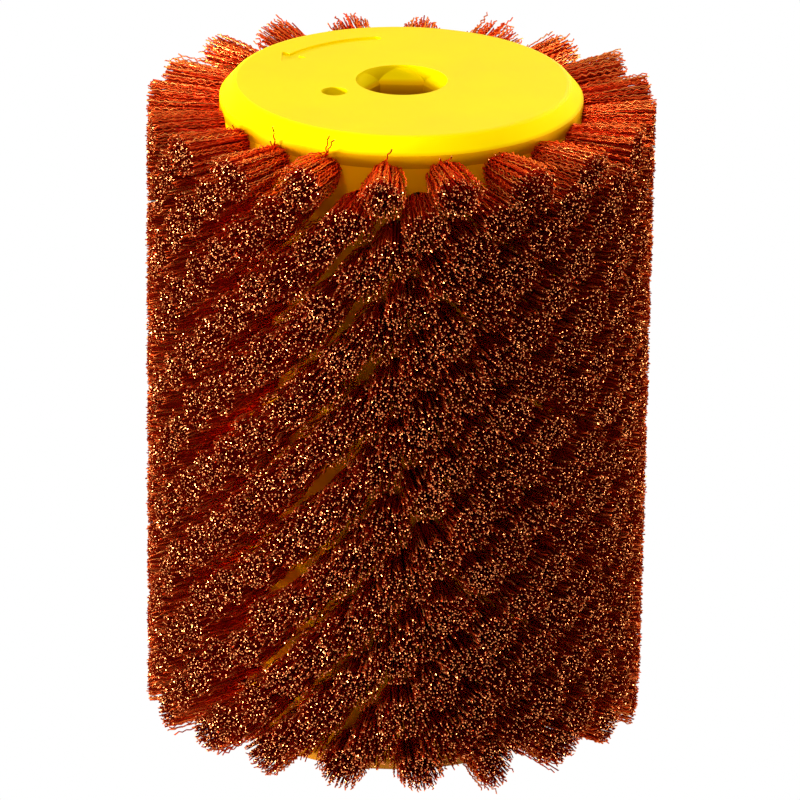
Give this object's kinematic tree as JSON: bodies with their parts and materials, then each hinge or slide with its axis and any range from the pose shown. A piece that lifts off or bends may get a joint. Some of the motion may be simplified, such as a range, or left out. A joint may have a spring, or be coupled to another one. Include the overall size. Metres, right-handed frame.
{
  "type": "rotary wire brush",
  "caption": "Cylindrical rotary brush: a plastic drum covered in rings of crimped copper wire tufts, driven through a hex bore along its axis.",
  "frame": {"origin": "on the drum's axis, at the centre of the lower end face, which the brush stands on", "axes": "+Z along the drum's axis, up to the upper end face; +X through a corner of the hex bore; the locating hole of the upper face lies towards -X and -Y"},
  "size_m": [0.0748, 0.0748, 0.1],
  "materials": {
    "drum_plastic": "moulded, satin gloss",
    "sleeve_plastic": "moulded, matte",
    "copper_wire": "crimped bare copper wire",
    "anchor_wire": "flat drawn wire"
  },
  "bodies": {
    "root": {"drum": "drum_plastic", "end_cap_top": "drum_plastic", "end_cap_bottom": "drum_plastic", "hex_sleeve": "sleeve_plastic", "tuft_ring_01": "copper_wire", "tuft_ring_02": "copper_wire", "tuft_ring_03": "copper_wire", "tuft_ring_04": "copper_wire", "tuft_ring_05": "copper_wire", "tuft_ring_06": "copper_wire", "tuft_ring_07": "copper_wire", "tuft_ring_08": "copper_wire", "tuft_ring_09": "copper_wire", "tuft_ring_10": "copper_wire", "tuft_ring_11": "copper_wire", "tuft_ring_12": "copper_wire", "tuft_ring_13": "copper_wire", "tuft_ring_14": "copper_wire", "tuft_ring_15": "copper_wire", "tuft_ring_16": "copper_wire", "tuft_ring_17": "copper_wire", "tuft_ring_18": "copper_wire", "tuft_ring_19": "copper_wire", "tuft_ring_20": "copper_wire", "tuft_ring_21": "copper_wire", "tuft_ring_22": "copper_wire", "anchor_ring_01": "anchor_wire", "anchor_ring_02": "anchor_wire", "anchor_ring_03": "anchor_wire", "anchor_ring_04": "anchor_wire", "anchor_ring_05": "anchor_wire", "anchor_ring_06": "anchor_wire", "anchor_ring_07": "anchor_wire", "anchor_ring_08": "anchor_wire", "anchor_ring_09": "anchor_wire", "anchor_ring_10": "anchor_wire", "anchor_ring_11": "anchor_wire", "anchor_ring_12": "anchor_wire", "anchor_ring_13": "anchor_wire", "anchor_ring_14": "anchor_wire", "anchor_ring_15": "anchor_wire", "anchor_ring_16": "anchor_wire", "anchor_ring_17": "anchor_wire", "anchor_ring_18": "anchor_wire", "anchor_ring_19": "anchor_wire", "anchor_ring_20": "anchor_wire", "anchor_ring_21": "anchor_wire", "anchor_ring_22": "anchor_wire"}
  },
  "joints": []
}
